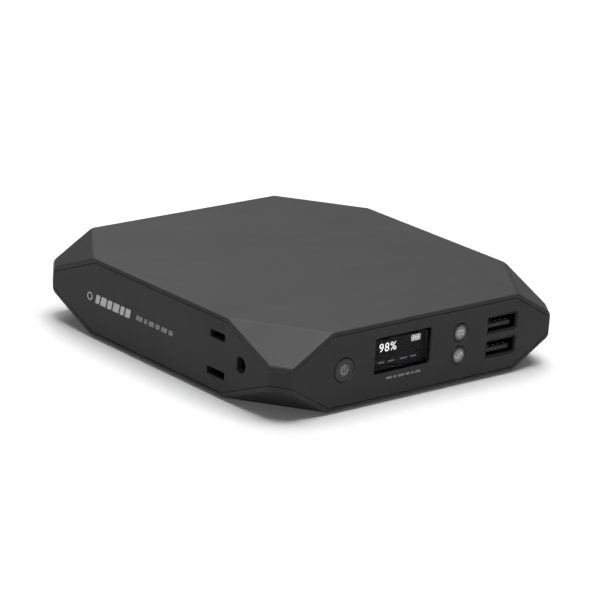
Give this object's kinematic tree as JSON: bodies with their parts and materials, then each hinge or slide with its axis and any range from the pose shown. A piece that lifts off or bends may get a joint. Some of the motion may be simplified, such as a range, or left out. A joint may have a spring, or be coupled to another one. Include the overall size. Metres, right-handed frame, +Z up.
{
  "type": "portable power bank with mains outlet",
  "caption": "Flat faceted power bank with a display, sprung keys and charging sockets in one side and a mains outlet in the next, cells and inverter inside.",
  "frame": {"origin": "middle of the case's plan, on the surface that its four rubber feet stand on", "axes": "+X along the control side from the power key towards the USB sockets, +Y from the control side to the rear, +Z up through the top cover"},
  "size_m": [0.122, 0.127, 0.0278],
  "materials": {
    "case_plastic": "fine matte soft-touch moulding",
    "foot_rubber": "matte",
    "screw_steel": "black oxide",
    "key_plastic": "satin",
    "icon_lens": "milky satin",
    "switch_body": "moulded",
    "switch_plunger": "moulded",
    "display_lens": "polished, smoked",
    "display_glass": "polished",
    "display_frame": "moulded",
    "ribbon_film": "amber film",
    "circuit_board": "solder mask",
    "connector_shell": "satin nickel",
    "connector_plastic": "moulded",
    "gold_contact": "gold plated",
    "outlet_plastic": "moulded",
    "outlet_brass": "rolled",
    "terminal_plastic": "moulded",
    "lead_insulation": "extruded",
    "ferrite": "sintered",
    "winding_tape": "taped winding",
    "winding_copper": "enamelled copper",
    "heat_sink_metal": "extruded",
    "chip_plastic": "moulded",
    "capacitor_sleeve": "shrink sleeve",
    "cell_sleeve": "shrink sleeve",
    "cell_holder_plastic": "moulded",
    "nickel_strip": "rolled nickel"
  },
  "bodies": {
    "case": {"battery_cells": "cell_sleeve", "battery_connector": "connector_plastic", "battery_leads": "lead_insulation", "board_header": "connector_plastic", "board_screws": "screw_steel", "bottom_cover": "case_plastic", "capacitors": "capacitor_sleeve", "case_screws": "screw_steel", "cell_holder_front": "cell_holder_plastic", "cell_holder_rear": "cell_holder_plastic", "cell_links": "nickel_strip", "choke_core": "ferrite", "choke_winding": "winding_copper", "control_board": "circuit_board", "controller_chips": "chip_plastic", "dc_jack_body": "connector_plastic", "dc_jack_pin": "gold_contact", "display_bracket": "display_frame", "display_panel": "display_glass", "display_ribbon": "ribbon_film", "display_window": "display_lens", "dock_contact_block": "connector_plastic", "dock_contacts": "gold_contact", "foot_front_left": "foot_rubber", "foot_front_right": "foot_rubber", "foot_rear_left": "foot_rubber", "foot_rear_right": "foot_rubber", "heat_sink": "heat_sink_metal", "main_board": "circuit_board", "outlet_ground_contact": "outlet_brass", "outlet_housing": "outlet_plastic", "outlet_leads": "lead_insulation", "outlet_line_contact": "outlet_brass", "outlet_neutral_contact": "outlet_brass", "outlet_terminal_block": "terminal_plastic", "output_switch": "switch_body", "port_board": "circuit_board", "power_inductors": "ferrite", "power_switch": "switch_body", "power_transistors": "chip_plastic", "protection_board": "circuit_board", "side_frame": "case_plastic", "top_cover": "case_plastic", "transformer_core": "ferrite", "transformer_winding": "winding_tape", "usb_a_contacts": "gold_contact", "usb_a_insulator": "connector_plastic", "usb_a_shell": "connector_shell", "usb_c_shell": "connector_shell", "usb_c_tongue": "connector_plastic", "usb_switch": "switch_body"},
    "power_button_body": {"power_button": "key_plastic", "power_button_lens": "icon_lens", "power_switch_plunger": "switch_plunger"},
    "usb_button_body": {"usb_button": "key_plastic", "usb_button_lens": "icon_lens", "usb_switch_plunger": "switch_plunger"},
    "output_button_body": {"output_button": "key_plastic", "output_button_lens": "icon_lens", "output_switch_plunger": "switch_plunger"}
  },
  "joints": [
    {"name": "power_press", "type": "slide", "parent": "case", "child": "power_button_body", "axis": [0, 1, 0], "range_m": [0, 0.0005], "stiffness_N_per_m": 400, "springref_m": -0.002},
    {"name": "usb_press", "type": "slide", "parent": "case", "child": "usb_button_body", "axis": [0, 1, 0], "range_m": [0, 0.0005], "stiffness_N_per_m": 400, "springref_m": -0.002},
    {"name": "output_press", "type": "slide", "parent": "case", "child": "output_button_body", "axis": [0, 1, 0], "range_m": [0, 0.0005], "stiffness_N_per_m": 400, "springref_m": -0.002}
  ]
}
